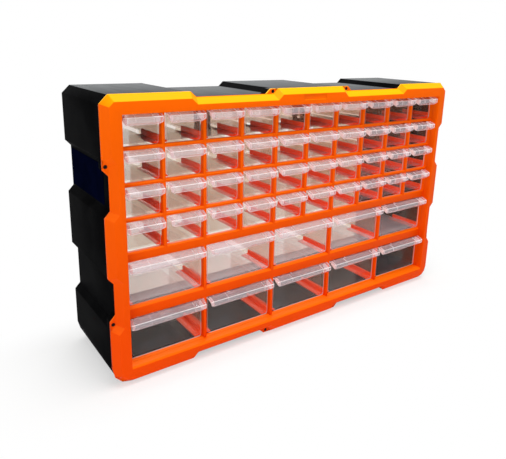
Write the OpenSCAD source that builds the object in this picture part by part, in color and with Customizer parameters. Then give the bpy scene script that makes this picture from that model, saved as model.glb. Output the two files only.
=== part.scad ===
// Parts bin cabinet: a notched front frame with small and large clear drawers,
// screwed to a black rear housing whose back is a border around one large window.
// The front frame is one moulding with its grid of bars and dividers, and the housing is one
// moulding with its back: they are drawn as pieces that meet face to face.
// Millimetres. +X to the right, the drawers pull out towards -Y, +Z up.
// The origin is the middle of the cabinet's base.

/* [Drawer grid] */
// Columns of small drawers
small_cols = 10; // [6:1:11]
// Rows of small drawers
small_rows = 4; // [2:1:4]
// Columns of large drawers
large_cols = 5; // [3:1:6]
// Rows of large drawers
large_rows = 2; // [1:1:2]
// Width of a small cell, from divider centre to divider centre
cell_w = 60; // [50:1:75]
// Clear height of a small opening
small_open_h = 41.3; // [36:0.1:60]
// Clear height of a large opening
large_open_h = 64; // [50:0.5:90]
// Width of the dividers and of the bars between small rows
bar_t = 4.4; // [3.6:0.1:7]
// Height of the bar between the small and the large rows
zone_bar_h = 12.4; // [8:0.1:20]
// Height of the bars between large rows
large_bar_h = 15.4; // [9:0.1:24]

/* [Front frame] */
// Face width beside the outer openings
side_margin = 23.2; // [21:0.1:34]
// Face height above the top openings
top_margin = 23.4; // [21:0.1:34]
// Face height below the bottom openings
bottom_margin = 25.4; // [22:0.1:36]
// How far the face stands ahead of the grid
face_proud = 13.7; // [12.5:0.1:20]
// Depth of the grid bars
grid_d = 8; // [5:0.5:12]
// Thickness of the flange that meets the housing
flange_t = 3; // [2.4:0.1:4.5]
// Width of the bevel around the face
bevel_w = 8; // [5:0.1:9]
// Cut of the top corners
corner_cut = 11; // [6:0.5:16]
// Radius of the bottom corners
foot_corner_r = 26; // [12:1:28]
// Depth of the outline's notches
notch_d = 7.6; // [4:0.1:8.5]
// Length of a notch's slope along the edge
notch_slope = 8.2; // [6:0.1:12]
// Half length of the raised stretch in the middle of the top and the base
mid_pad_half = 63; // [45:1:75]
// Length of the raised stretches at the ends of the top and the base
end_pad = 118; // [90:1:125]
// Half length of the raised stretch in the middle of each side
side_pad_half = 39.5; // [30:0.5:45]
// Flat length of each side notch
side_notch = 57; // [48:0.5:62]
// How far the side notches' middle lies above mid height
side_pattern_rise = 2.5; // [-4:0.5:6]
// Thickness of the wall around the grid that plugs into the housing
spigot_t = 4; // [2.5:0.1:6]
// Chamfer along the foot of a small opening
small_chamfer = 1.5; // [0.8:0.1:2]
// Chamfer along the foot of a large opening and of the face
large_chamfer = 2.5; // [1:0.1:3]
// Width of the blank name plate recess
plate_w = 43; // [20:1:60]
// Height of the blank name plate recess
plate_h = 7.6; // [5:0.1:9]
// Gap from the bevel to the name plate recess
plate_gap = 1.6; // [1:0.1:2.5]
// Depth of the blank name plate recess
plate_d = 0.8; // [0.4:0.1:1.5]

/* [Runners] */
// Thickness of a runner's web
web_t = 3; // [2:0.1:3.5]
// Depth at which the runners end, behind the grid's front
runner_end = 67; // [50:1:110]
// Height of a small runner's web above the foot of its opening
small_web_h = 10; // [8:0.5:20]
// Height of a large runner's web above the foot of its opening
large_web_h = 9; // [7:0.5:30]
// How far a small runner's ledge stands out from its web
small_ledge_w = 8; // [6.5:0.1:10]
// How far a large runner's ledge stands out from its web
large_ledge_w = 12; // [7:0.1:18]
// Thickness of the ledges
ledge_t = 2.2; // [1.4:0.1:2.6]

/* [Drawers] */
// Gap from a drawer's back to the housing's back
drawer_back_gap = 11.3; // [3:0.1:25]
// Wall and floor thickness of a drawer
drawer_wall = 1.5; // [1:0.1:2.2]
// Thickness of a drawer's front
drawer_front_t = 1.8; // [1.2:0.1:2.4]
// Gap from an opening's side to the drawer
drawer_side_gap = 3.4; // [2.6:0.1:4.4]
// Height of a drawer's underside above the foot of its opening
drawer_lift = 3.2; // [3:0.1:5]
// Gap from the drawer's top to the opening's top
drawer_top_gap = 1; // [0.6:0.1:2]
// How far the drawer's front lies behind the grid's front
drawer_recess = 2.5; // [1.5:0.1:4]
// How much lower the tub is than the drawer's front
tub_drop = 5; // [3:0.1:8]
// Running gap between a drawer and its ledge
slide_gap = 0.3; // [0.2:0.05:0.6]
// Radius of the lower corners of a drawer's front
front_corner_r = 4; // [2:0.5:6]
// Radius of the tub's rear corners
rear_corner_r = 3; // [2.5:0.5:6]
// Width of the stop tab on a drawer's back
stop_w = 14; // [8:1:20]
// How far the stop tab stands above the opening's top
stop_rise = 1.2; // [0.6:0.1:2]
// Depth of the divider slot from the drawer's front
slot_at = 67; // [40:1:80]
// Width of the divider slot
slot_w = 2; // [1.2:0.1:3]
// How far the slot's ribs stand out from the wall
rib_proud = 1.4; // [0.8:0.1:2]
// Thickness of the slot's ribs
rib_t = 1.2; // [0.8:0.1:2]

/* [Drawer pulls] */
// How far a pull's nose stands ahead of the grid
pull_reach = 11.7; // [8:0.1:12.3]
// How far the pull's level top stands ahead of the grid
pull_shelf = 1; // [0.5:0.1:6]
// Drop from the opening's top to the nose
pull_nose_drop = 4.4; // [3:0.1:5.5]
// Height of the upright face below the nose
pull_face_h = 6.2; // [4:0.1:7]
// Drop from the opening's top to the pull's lower edge
pull_drop = 14.3; // [13:0.1:18]
// How far the lower edge curls back from the face
pull_curl = 3.2; // [0:0.1:4]
// Thickness of the pull
pull_t = 1.6; // [1:0.1:2.2]
// Gap from an opening's side to the pull
pull_side_gap = 0.4; // [0.3:0.1:3]
// Radius of the pull's lower corners
pull_corner_r = 6; // [3:0.5:8]
// Distance of the pull's ribs from its ends
pull_rib_in = 6; // [3:0.5:9]

/* [Rear housing] */
// Depth of the housing, from the flange to its back
housing_d = 146.3; // [143:0.1:180]
// Wall thickness of the housing
housing_wall = 2.5; // [1.8:0.1:4]
// Step from the frame's edge in to the housing's side
housing_step = 0.6; // [0:0.1:1.2]
// Width of the back's border beside the window
border_side = 46; // [35:1:60]
// Height of the back's border above the window
border_top = 45; // [30:1:60]
// Height of the back's border below the window
border_bottom = 47; // [30:1:60]
// Distance between the two hanging keyholes
keyhole_spacing = 204; // [120:1:240]
// Radius of a keyhole's entry
keyhole_r = 5; // [4:0.1:6]
// Half width of a keyhole's slot
keyhole_slot_r = 2.3; // [1.8:0.1:2.6]
// Rise of a keyhole's slot above its entry
keyhole_rise = 12; // [8:0.5:16]
// Width of the tongue that carries a keyhole
tongue_w = 30; // [24:1:40]
// How far the tongue reaches below the border
tongue_h = 33; // [28:1:50]
// Height of the keyhole entry above the tongue's end
keyhole_up = 12; // [8:0.5:16]

/* [Screws and label] */
// Length of an ear along the edge past its raised stretch
ear_len = 13; // [10:0.5:16]
// Distance from the outer edge to a screw's centre
screw_edge = 4; // [3.4:0.1:4.6]
// Distance from the raised stretch to a screw's centre
screw_along = 9; // [7:0.5:10]
// Radius of a screw's head
screw_head_r = 2.3; // [2:0.1:2.6]
// Height of a screw's head
screw_head_h = 1.2; // [0.8:0.1:1.5]
// Radius of a screw's shank
screw_r = 1.3; // [1:0.1:1.5]
// Length of a screw's shank in the housing
screw_grip = 8; // [5:0.5:10]
// Depth of the housing's ears
ear_d = 12; // [11:0.5:20]
// Length of the blank label on the left side
label_l = 126; // [60:1:128]
// Margin of the label inside its notch
label_margin = 2.5; // [1:0.1:6]
// Thickness of the label
label_t = 0.4; // [0.2:0.05:0.6]

/* [Hidden] */
$fn = 32;
EPS = 0.01;
CLEAR = 0.1; // radial gap around a screw
CUT = 1; // how far a cutter runs past a face

open_w = small_cols * cell_w - bar_t;
open_h = small_rows * small_open_h + (small_rows - 1) * bar_t + zone_bar_h
    + large_rows * large_open_h + (large_rows - 1) * large_bar_h;
body_w = open_w + 2 * side_margin;
body_h = bottom_margin + open_h + top_margin;
half_w = body_w / 2;
open_top = bottom_margin + open_h;
large_cell_w = small_cols * cell_w / large_cols;
small_open_w = cell_w - bar_t;
large_open_w = large_cell_w - bar_t;
small_foot0 = bottom_margin + large_rows * large_open_h + (large_rows - 1) * large_bar_h + zone_bar_h;

// Depths, from the front face to the housing's back
body_d = face_proud + housing_d;
face_y = -body_d / 2;
grid_y = face_y + face_proud; // front of the grid's bars
flange_y = grid_y - flange_t;
back_y = grid_y + housing_d;
back_inside_y = back_y - housing_wall;
ledge_top = drawer_lift - slide_gap; // above the foot of an opening
drawer_d = housing_d - housing_wall - drawer_recess - drawer_back_gap; // from its front to its back

// Foot of the openings in small row r and large row r, row 1 on top
function small_foot(r) = small_foot0 + (small_rows - r) * (small_open_h + bar_t);
function large_foot(r) = bottom_margin + (large_rows - r) * (large_open_h + large_bar_h);
// Middle of column c in a row of n cells that are w wide
function column_x(c, n, w) = (c - (n + 1) / 2) * w;

function small_name(r, c) = str("small_drawer_r", r, "_c", c);
function large_name(r, c) = str("large_drawer_r", r, "_c", c);

// ---- Outline of the frame, seen from the front: X to the right, Z up ----

// 1 where the outline is drawn in by a notch, at the eight points of a notched side
NOTCHED = [0, 1, 1, 0, 0, 1, 1, 0];
side_mid = body_h / 2 + side_pattern_rise;
side_pad_end = side_pad_half + notch_slope;
side_far = side_pad_end + side_notch;
side_half_z = [side_pad_half, side_pad_end, side_far, side_far + notch_slope];
side_z = concat([for (i = [3:-1:0]) side_mid - side_half_z[i]], [for (v = side_half_z) side_mid + v]);
end_pad_x = half_w - end_pad; // where an end's raised stretch stops
top_half_x = [mid_pad_half, mid_pad_half + notch_slope, end_pad_x - notch_slope, end_pad_x];
top_x = concat([for (i = [3:-1:0]) top_half_x[i]], [for (v = top_half_x) -v]);

// The rounded bottom corner on the right, as steps of 30 degrees from its foot up
foot_corner = [for (a = [-90:30:0]) [half_w, 0] + foot_corner_r * [cos(a) - 1, sin(a) + 1]];
frame_outline = concat(
    foot_corner,
    [for (i = [0:7]) [half_w - notch_d * NOTCHED[i], side_z[i]]],
    [[half_w, body_h - corner_cut], [half_w - corner_cut, body_h]],
    [for (i = [0:7]) [top_x[i], body_h - notch_d * NOTCHED[i]]],
    [[corner_cut - half_w, body_h], [-half_w, body_h - corner_cut]],
    [for (i = [7:-1:0]) [notch_d * NOTCHED[i] - half_w, side_z[i]]],
    [for (i = [3:-1:0]) [-foot_corner[i][0], foot_corner[i][1]]],
    [for (i = [7:-1:0]) [top_x[i], notch_d * NOTCHED[i]]]
);

function unit(v) = v / norm(v);
function left_of(v) = [-v[1], v[0]];
// Moves one corner of an outline in by d, so that both of its edges move in by d
function moved_corner(a, b, c, d) =
    let (n1 = left_of(unit(b - a)), n2 = left_of(unit(c - b)))
    b + d * (n1 + n2) / (1 + n1 * n2);
// The parallel outline d inside a counter-clockwise outline
function inset(pts, d) =
    let (n = len(pts))
    [for (i = [0:n - 1]) moved_corner(pts[(i + n - 1) % n], pts[i], pts[(i + 1) % n], d)];
// The outline of a sheet t thick to the left of an open path
function sheet(path, t) =
    let (n = len(path),
        first = path[0] + t * left_of(unit(path[1] - path[0])),
        last = path[n - 1] + t * left_of(unit(path[n - 1] - path[n - 2])),
        inner = [for (i = [1:n - 2]) moved_corner(path[i - 1], path[i], path[i + 1], t)])
    concat(path, [last], [for (i = [n - 3:-1:0]) inner[i]], [first]);

// The housing's outline: stepped in from the frame, but its raised stretches reach the ground
function seated(pts) = [for (p = pts) [p[0], p[1] <= housing_step + EPS ? 0 : p[1]]];
face_outline = inset(frame_outline, bevel_w);
housing_outline = seated(inset(frame_outline, housing_step));
housing_inside = inset(frame_outline, housing_step + housing_wall);

// Ears: from a raised stretch's end into its notch. s is the step in from the frame's edge.
function top_ear(s) = [
    [mid_pad_half - CUT, body_h - s], [mid_pad_half + ear_len, body_h - s],
    [mid_pad_half + ear_len + notch_slope, body_h - notch_d - s],
    [mid_pad_half + ear_len + notch_slope, body_h - notch_d - s - CUT],
    [mid_pad_half - CUT, body_h - notch_d - s - CUT]
];
function side_ear(s) = let (z = side_far + notch_slope) [
    [half_w - s, z + CUT], [half_w - s, z - ear_len], [half_w - notch_d - s, z - ear_len - notch_slope],
    [half_w - notch_d - s - CUT, z - ear_len - notch_slope], [half_w - notch_d - s - CUT, z + CUT]
];
// One ear of each kind at its four places, each an outline drawn by children
module ears(s) {
    for (side = [0, 1]) mirror([side, 0]) {
        polygon(top_ear(s));
        translate([0, body_h]) mirror([0, 1]) polygon(top_ear(s));
        for (up = [0, 1]) translate([0, side_mid]) mirror([0, up]) polygon(side_ear(s));
    }
}
// Puts its children at every screw, seen from the front
module at_screws() {
    for (side = [-1, 1]) {
        for (z = [screw_edge, body_h - screw_edge])
            translate([side * (mid_pad_half + screw_along), z]) children();
        for (up = [-1, 1])
            translate([side * (half_w - screw_edge), side_mid + up * (side_far + notch_slope - screw_along)])
                children();
    }
}

// Extrudes a front view from depth y0 back to depth y1
module slab(y0, y1) {
    translate([0, y1, 0]) rotate([90, 0, 0]) linear_extrude(y1 - y0) children();
}
// Extrudes a side view, drawn with depth to the right and height up, w wide about x = 0
module profile(w) {
    translate([-w / 2, 0, 0]) rotate([90, 0, 90]) linear_extrude(w) children();
}

// ---- Front frame: the rim around the grid ----

// The sloping border between an outline and the one inset from it: a ring of wedges
module bevel_ring(outer, inner, back_at, front_at) {
    n = len(outer);
    points = concat(
        [for (p = outer) [p[0], back_at, p[1]]],
        [for (p = inner) [p[0], front_at, p[1]]],
        [for (p = inner) [p[0], back_at, p[1]]]
    );
    faces = [for (i = [0:n - 1], k = [0:2])
        let (j = (i + 1) % n, a = k * n, b = ((k + 1) % 3) * n) [b + i, b + j, a + j, a + i]];
    polyhedron(points, faces);
}
// The rim's opening, with the chamfer at its foot
module face_pocket() {
    translate([0, face_y, bottom_margin]) profile(open_w) polygon([
        [-CUT, -large_chamfer - CUT], [large_chamfer, 0], [face_proud + CUT, 0],
        [face_proud + CUT, open_h], [-CUT, open_h]
    ]);
}
module front_frame() {
    face_top = body_h - bevel_w;
    color("#f25a05") difference() {
        union() {
            bevel_ring(frame_outline, face_outline, flange_y, face_y);
            slab(face_y, flange_y) polygon(face_outline);
            slab(flange_y - EPS, grid_y) {
                polygon(frame_outline);
                ears(0);
            }
        }
        face_pocket();
        slab(face_y - CUT, face_y + plate_d)
            translate([-plate_w / 2, face_top - plate_gap - plate_h]) square([plate_w, plate_h]);
        slab(flange_y - CUT, grid_y + CUT) at_screws() circle(screw_r + CLEAR);
        slab(face_y - CUT, flange_y + screw_head_h + CLEAR) at_screws() circle(screw_head_r + CLEAR);
    }
}

// ---- Grid behind the rim, plugged into the housing ----

// Side view of what is under an opening, h high: chamfered along the opening's foot, z = 0
function bar_section(h, chamfer) = [[0, -chamfer], [chamfer, 0], [grid_d, 0], [grid_d, -h], [0, -h]];
// Side view of a divider h high that stands on such a bar
function divider_section(h, chamfer) = [[0, -chamfer], [chamfer, 0], [grid_d, 0], [grid_d, h], [0, h]];

module grid_bars() {
    grid_w = open_w + 2 * spigot_t;
    color("#f25a05") {
        for (z = [bottom_margin - spigot_t, open_top])
            translate([-grid_w / 2, grid_y, z]) cube([grid_w, grid_d, spigot_t]);
        for (r = [1:small_rows]) translate([0, grid_y, small_foot(r)])
            profile(open_w) polygon(bar_section(r < small_rows ? bar_t : zone_bar_h, small_chamfer));
        for (r = [1:1:large_rows - 1]) translate([0, grid_y, large_foot(r)])
            profile(open_w) polygon(bar_section(large_bar_h, large_chamfer));
    }
}
// One row's dividers between n cells that are w wide
module divider_row(n, w, h, chamfer) {
    for (i = [1:n - 1]) translate([(i - n / 2) * w, 0, 0])
        profile(bar_t) polygon(divider_section(h, chamfer));
}
module grid_dividers() {
    color("#f25a05") {
        for (side = [0, 1]) mirror([side, 0, 0])
            translate([open_w / 2, grid_y, bottom_margin]) cube([spigot_t, grid_d, open_h]);
        for (r = [1:small_rows]) translate([0, grid_y, small_foot(r)])
            divider_row(small_cols, cell_w, small_open_h, small_chamfer);
        for (r = [1:large_rows]) translate([0, grid_y, large_foot(r)])
            divider_row(large_cols, large_cell_w, large_open_h, r < large_rows ? large_chamfer : 0);
    }
}

// ---- Runners behind the grid ----

// An upside-down T at a divider: a web and a ledge to each side in the list sides.
// z = 0 is the foot of the openings beside it.
module runner(sides, web_h, foot_h, ledge_w) {
    length = runner_end - grid_d;
    reach = web_t / 2 + ledge_w;
    translate([-web_t / 2, grid_y + grid_d, -foot_h]) cube([web_t, length, foot_h + web_h]);
    for (side = sides)
        translate([side > 0 ? 0 : -reach, grid_y + grid_d, ledge_top - ledge_t])
            cube([reach, length, ledge_t]);
}
// The ledges that divider i of n cells carries: none faces away from the drawers
function ledge_sides(i, n) = concat(i > 0 ? [-1] : [], i < n ? [1] : []);
// The outer webs stand behind the spigot, clear of the outer openings
function web_x(i, n, w) = (i - n / 2) * w + (i == 0 ? -1 : i == n ? 1 : 0) * (web_t - bar_t) / 2;
module small_runners() {
    color("#e8410a") for (r = [1:small_rows], i = [0:small_cols])
        translate([web_x(i, small_cols, cell_w), 0, small_foot(r)])
            runner(ledge_sides(i, small_cols), small_web_h, bar_t, small_ledge_w);
}
// The outer drawers of the bottom row run on the housing's own ledges
module large_runners() {
    color("#e8410a") for (r = [1:large_rows], i = [0:large_cols])
        if (r < large_rows || (i > 0 && i < large_cols))
            translate([web_x(i, large_cols, large_cell_w), 0, large_foot(r)])
                runner(ledge_sides(i, large_cols), large_web_h, bar_t, large_ledge_w);
}

// ---- Rear housing ----

window_w = body_w - 2 * border_side;
window_h = body_h - border_top - border_bottom;
tongue_foot = body_h - border_top - tongue_h;
keyhole_z = tongue_foot + keyhole_up;
module at_keyholes() {
    for (side = [-1, 1]) translate([side * keyhole_spacing / 2, 0]) children();
}
// Front view of the back's window, less the tongues that carry the keyholes
module window() {
    difference() {
        translate([-window_w / 2, border_bottom]) square([window_w, window_h]);
        at_keyholes() translate([-tongue_w / 2, tongue_foot]) square([tongue_w, tongue_h + CUT]);
    }
}
module keyhole() {
    circle(keyhole_r);
    translate([-keyhole_slot_r, 0]) square([2 * keyhole_slot_r, keyhole_rise]);
    translate([0, keyhole_rise]) circle(keyhole_slot_r);
}
// The ledge beside each end of the bottom row, standing on the housing's floor
module floor_ledges() {
    foot = large_foot(large_rows);
    for (side = [0, 1]) mirror([side, 0, 0])
        translate([open_w / 2, grid_y + grid_d, housing_wall - EPS]) {
            cube([web_t, runner_end - grid_d, foot + ledge_top - housing_wall + EPS]);
            translate([-large_ledge_w, 0, foot + ledge_top - ledge_t - housing_wall + EPS])
                cube([large_ledge_w + web_t, runner_end - grid_d, ledge_t]);
        }
}
module rear_housing() {
    color("#17181a") difference() {
        union() {
            difference() {
                union() {
                    slab(grid_y, back_inside_y) polygon(housing_outline);
                    slab(grid_y, grid_y + ear_d) ears(housing_step);
                }
                slab(grid_y - CUT, back_y) polygon(housing_inside);
            }
            intersection() {
                floor_ledges();
                slab(grid_y, back_y) polygon(housing_outline);
            }
        }
        slab(grid_y - CUT, grid_y + screw_grip + CUT) at_screws() circle(screw_r + CLEAR);
    }
}
module housing_back() {
    color("#17181a") difference() {
        slab(back_inside_y, back_y) polygon(housing_outline);
        slab(back_inside_y - CUT, back_y + CUT) window();
        slab(back_inside_y - CUT, back_y + CUT) at_keyholes() translate([0, keyhole_z]) keyhole();
    }
}

// ---- Screws and label ----

module frame_screws() {
    seat_y = flange_y + screw_head_h + CLEAR; // floor of the head's counterbore
    color("#0c0c0d") {
        slab(seat_y - screw_head_h, seat_y) at_screws() circle(screw_head_r);
        slab(seat_y - EPS, grid_y + screw_grip) at_screws() circle(screw_r);
    }
}
module side_label() {
    label_h = side_notch - 2 * label_margin;
    color("#0a0f33") translate([
        -half_w + notch_d + housing_step - label_t,
        back_y - label_l - label_margin,
        side_mid + side_pad_end + label_margin
    ]) cube([label_t, label_l, label_h]);
}

// ---- Drawers: x = 0 is the middle, y = 0 the grid's front, z = 0 the opening's foot ----

// A box in plan with rounded rear corners, its front edge on y = 0
module tub_plan(w, d, r) {
    translate([-w / 2, 0]) square([w, d - r]);
    translate([r - w / 2, 0]) square([w - 2 * r, d]);
    for (side = [-1, 1]) translate([side * (w / 2 - r), d - r]) circle(r);
}
// A front view w wide from z0 to z1 with rounded lower corners
module front_plate(w, z0, z1, r) {
    translate([-w / 2, z0 + r]) square([w, z1 - z0 - r]);
    translate([r - w / 2, z0]) square([w - 2 * r, z1 - z0]);
    for (side = [-1, 1]) translate([side * (w / 2 - r), z0 + r]) circle(r);
}
module tub(w, top) {
    inner_w = w - 2 * drawer_wall;
    translate([0, drawer_recess, 0]) {
        difference() {
            translate([0, 0, drawer_lift]) linear_extrude(top - drawer_lift)
                tub_plan(w, drawer_d, rear_corner_r);
            translate([0, drawer_front_t, drawer_lift + drawer_wall]) linear_extrude(top)
                tub_plan(inner_w, drawer_d - drawer_front_t - drawer_wall, rear_corner_r - drawer_wall);
            // lets the front's rounded corners show
            slab(-CUT, drawer_front_t) translate([-w, 0]) square([2 * w, top + CUT]);
        }
        for (side = [0, 1], at = [slot_at - slot_w / 2 - rib_t, slot_at + slot_w / 2]) mirror([side, 0, 0])
            translate([inner_w / 2 - rib_proud, at, drawer_lift + EPS])
                cube([rib_proud + EPS, rib_t, top - drawer_lift - EPS]);
    }
}
module stop_tab(h, top) {
    translate([-stop_w / 2, drawer_recess + drawer_d - drawer_wall, top - CUT])
        cube([stop_w, drawer_wall, h + stop_rise - top + CUT]);
}
// The pull: a sheet w wide that slopes from the front's top edge to a nose, drops to an upright
// face and curls back below it
module pull(w, h) {
    top = h - drawer_top_gap;
    nose_z = h - pull_nose_drop;
    path = [
        [drawer_recess, top], [-pull_shelf, top], [-pull_reach, nose_z],
        [-pull_reach, nose_z - pull_face_h], [pull_curl - pull_reach, h - pull_drop]
    ];
    intersection() {
        profile(w) polygon(sheet(path, pull_t));
        slab(-pull_reach - CUT, drawer_recess + CUT)
            front_plate(w, h - pull_drop - EPS, h, pull_corner_r);
    }
    for (side = [-1, 1]) translate([side * (w / 2 - pull_rib_in), 0, 0])
        profile(rib_t) polygon(concat(path, [
            [drawer_recess + EPS, h - pull_drop + pull_corner_r], [drawer_recess + EPS, top]
        ]));
}
module drawer(open_w, h) {
    w = open_w - 2 * drawer_side_gap;
    front_top = h - drawer_top_gap;
    tub_top = front_top - tub_drop;
    color("#d9d2d6", 0.4) union() {
        slab(drawer_recess, drawer_recess + drawer_front_t)
            front_plate(w, drawer_lift, front_top, front_corner_r);
        tub(w, tub_top);
        stop_tab(h, tub_top);
        pull(open_w - 2 * pull_side_gap, h);
    }
}
module small_drawer(r, c) {
    translate([column_x(c, small_cols, cell_w), grid_y, small_foot(r)]) drawer(small_open_w, small_open_h);
}
module large_drawer(r, c) {
    translate([column_x(c, large_cols, large_cell_w), grid_y, large_foot(r)])
        drawer(large_open_w, large_open_h);
}

front_frame();
grid_bars();
grid_dividers();
small_runners();
large_runners();
rear_housing();
housing_back();
frame_screws();
side_label();
for (r = [1:small_rows], c = [1:small_cols])
    small_drawer(r, c);
for (r = [1:large_rows], c = [1:large_cols])
    large_drawer(r, c);
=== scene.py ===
"""Dresses the parts bin cabinet: bevelled mouldings, clear drawers, screws, label, studio and camera."""

import logging
import math
from dataclasses import dataclass, field, replace
from enum import Enum, IntEnum
from typing import NamedTuple

import bmesh
import bpy
from mathutils import Euler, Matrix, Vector


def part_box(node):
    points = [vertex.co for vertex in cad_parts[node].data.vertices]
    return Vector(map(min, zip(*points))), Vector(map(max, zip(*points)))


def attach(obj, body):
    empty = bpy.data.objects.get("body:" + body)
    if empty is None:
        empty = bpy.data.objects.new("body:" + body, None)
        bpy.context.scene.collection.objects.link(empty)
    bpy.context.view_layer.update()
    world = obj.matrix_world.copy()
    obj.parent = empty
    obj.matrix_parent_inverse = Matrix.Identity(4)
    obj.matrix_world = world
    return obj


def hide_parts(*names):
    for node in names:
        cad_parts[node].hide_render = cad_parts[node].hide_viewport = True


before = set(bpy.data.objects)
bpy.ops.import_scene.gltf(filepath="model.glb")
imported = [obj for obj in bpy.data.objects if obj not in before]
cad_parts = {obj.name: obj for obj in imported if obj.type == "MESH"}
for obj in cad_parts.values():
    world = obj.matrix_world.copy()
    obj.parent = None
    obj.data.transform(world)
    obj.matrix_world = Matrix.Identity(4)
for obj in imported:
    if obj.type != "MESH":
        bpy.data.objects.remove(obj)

log = logging.getLogger("cabinet")

Point = tuple[float, float]
Triple = tuple[float, float, float]
Colour = tuple[float, float, float, float]
Material = bpy.types.Material
Mesh = bpy.types.Mesh
Socket = bpy.types.NodeSocket
Solid = bmesh.types.BMesh
Tree = bpy.types.NodeTree

MM = 0.001
WELD_MM = 0.002  # corners closer than this are one corner
EDGE_SEGMENTS = 2  # faces across a rounded edge
ARC_STEPS = 5  # spans across a small rounding
CORNER_STEPS = 6  # spans across a corner that shows
WHITE: Colour = (1.0, 1.0, 1.0, 1.0)
MIX_A, MIX_B, MIX_RESULT = 6, 7, 2  # a Mix node's colour sockets, whose names its other sockets share


# ---------------------------------------------------------------- colour and nodes


def linear(code: str) -> Colour:
    """Turns an sRGB hex colour into linear light.

    Args:
        code: a colour such as "#f25a05".

    Returns:
        Red, green and blue in linear light, and an alpha of 1.
    """
    parts = [int(code[i : i + 2], 16) / 255 for i in (1, 3, 5)]
    r, g, b = (c / 12.92 if c <= 0.04045 else ((c + 0.055) / 1.055) ** 2.4 for c in parts)
    return (r, g, b, 1.0)


def add_node(tree: Tree, kind: str, inputs: dict | None = None, **settings: object) -> bpy.types.Node:
    """Adds one node, sets it up and links it.

    Args:
        tree: the node tree that takes the node.
        kind: the node's Blender type name.
        inputs: input name or index to a value, or to the output socket that feeds it.
        settings: properties of the node itself.

    Returns:
        The new node.
    """
    node = tree.nodes.new(kind)
    for name, value in settings.items():
        setattr(node, name, value)
    for key, value in (inputs or {}).items():
        if isinstance(value, Socket):
            tree.links.new(value, node.inputs[key])
        else:
            node.inputs[key].default_value = value
    return node


def new_material(name: str) -> tuple[Material, Tree]:
    """Starts a material.

    Args:
        name: the material's name.

    Returns:
        The material and its empty node tree.
    """
    material = bpy.data.materials.new(name)
    material.use_nodes = True
    material.node_tree.nodes.clear()
    return material, material.node_tree


# ---------------------------------------------------------------- finishes


@dataclass(frozen=True)
class MouldedPolypropylene:
    """Injection-moulded coloured polypropylene: a smooth waxy skin, with painted light: paler towards the top, and
    a painted highlight on up-facing faces.
    """

    name: str
    # high and low paint the colour paler towards the top; the next two are the painted highlight on up-facing
    # faces, in the top band and below it.
    high: str
    low: str
    painted_highlight_high: str
    painted_highlight_low: str
    ior: float = 1.49
    specular: float = 0.04
    roughness: float = 0.42
    roughness_drift: float = 0.05
    drift_mm: float = 80.0
    drift: float = 0.05
    peel_mm: float = 2.2
    peel_height_mm: float = 0.03
    peel_strength: float = 0.35
    # Where the painted light runs: the foot and head of the paler-towards-the-top change, the top band where the
    # painted highlight is yellowest, and how far up a face turns before it takes the painted highlight.
    foot_mm: float = 60.0
    head_mm: float = 370.0
    highlight_band_mm: float = 45.0
    highlight_facing_up: Point = (0.3, 0.7)

    def make(self) -> Material:
        """Builds the material.

        Returns:
            The moulded plastic.
        """
        material, tree = new_material(self.name)
        place = add_node(tree, "ShaderNodeTexCoord").outputs["Object"]
        height = add_node(tree, "ShaderNodeSeparateXYZ", {0: place}).outputs["Z"]
        normal = add_node(tree, "ShaderNodeNewGeometry").outputs["Normal"]
        up = add_node(tree, "ShaderNodeSeparateXYZ", {0: normal}).outputs["Z"]
        # Painted light: the colour is paler towards the top, and up-facing faces take a painted highlight,
        # yellowest near the top.
        head = self.head_mm * MM
        rise, highlight_band, lit = (
            add_node(tree, "ShaderNodeMapRange", {"Value": value, "From Min": low, "From Max": high}).outputs[0]
            for value, low, high in (
                (height, self.foot_mm * MM, head),
                (height, (self.head_mm - self.highlight_band_mm) * MM, head),
                (up, *self.highlight_facing_up),
            )
        )
        skin, top = (
            add_node(
                tree, "ShaderNodeMix", {"Factor": factor, MIX_A: linear(low), MIX_B: linear(high)},
                data_type="RGBA",
            ).outputs[MIX_RESULT]
            for factor, low, high in ((rise, self.low, self.high), (highlight_band, self.painted_highlight_low, self.painted_highlight_high))
        )
        colour = add_node(tree, "ShaderNodeMix", {"Factor": lit, MIX_A: skin, MIX_B: top}, data_type="RGBA")
        # Pigment in a large moulding drifts a little.
        drift = add_node(
            tree, "ShaderNodeTexNoise", {"Vector": place, "Scale": 1000 / self.drift_mm, "Detail": 3.0}
        ).outputs["Fac"]
        value, gloss = (
            add_node(
                tree, "ShaderNodeMapRange", {"Value": drift, "To Min": middle - by, "To Max": middle + by}
            ).outputs[0]
            for middle, by in ((1.0, self.drift), (self.roughness, self.roughness_drift))
        )
        drifted = add_node(
            tree, "ShaderNodeHueSaturation", {"Color": colour.outputs[MIX_RESULT], "Value": value}
        )
        peel = add_node(
            tree, "ShaderNodeTexNoise",
            {"Vector": place, "Scale": 1000 / self.peel_mm, "Detail": 2.0, "Roughness": 0.4},
        )
        bump = add_node(
            tree, "ShaderNodeBump",
            {
                "Height": peel.outputs["Fac"], "Strength": self.peel_strength,
                "Distance": self.peel_height_mm * MM,
            },
        )
        shader = add_node(
            tree, "ShaderNodeBsdfPrincipled",
            {
                "Base Color": drifted.outputs[0], "Roughness": gloss, "Normal": bump.outputs[0],
                "IOR": self.ior, "Specular IOR Level": self.specular,
            },
        )
        add_node(tree, "ShaderNodeOutputMaterial", {"Surface": shader.outputs[0]})
        return material


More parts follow.
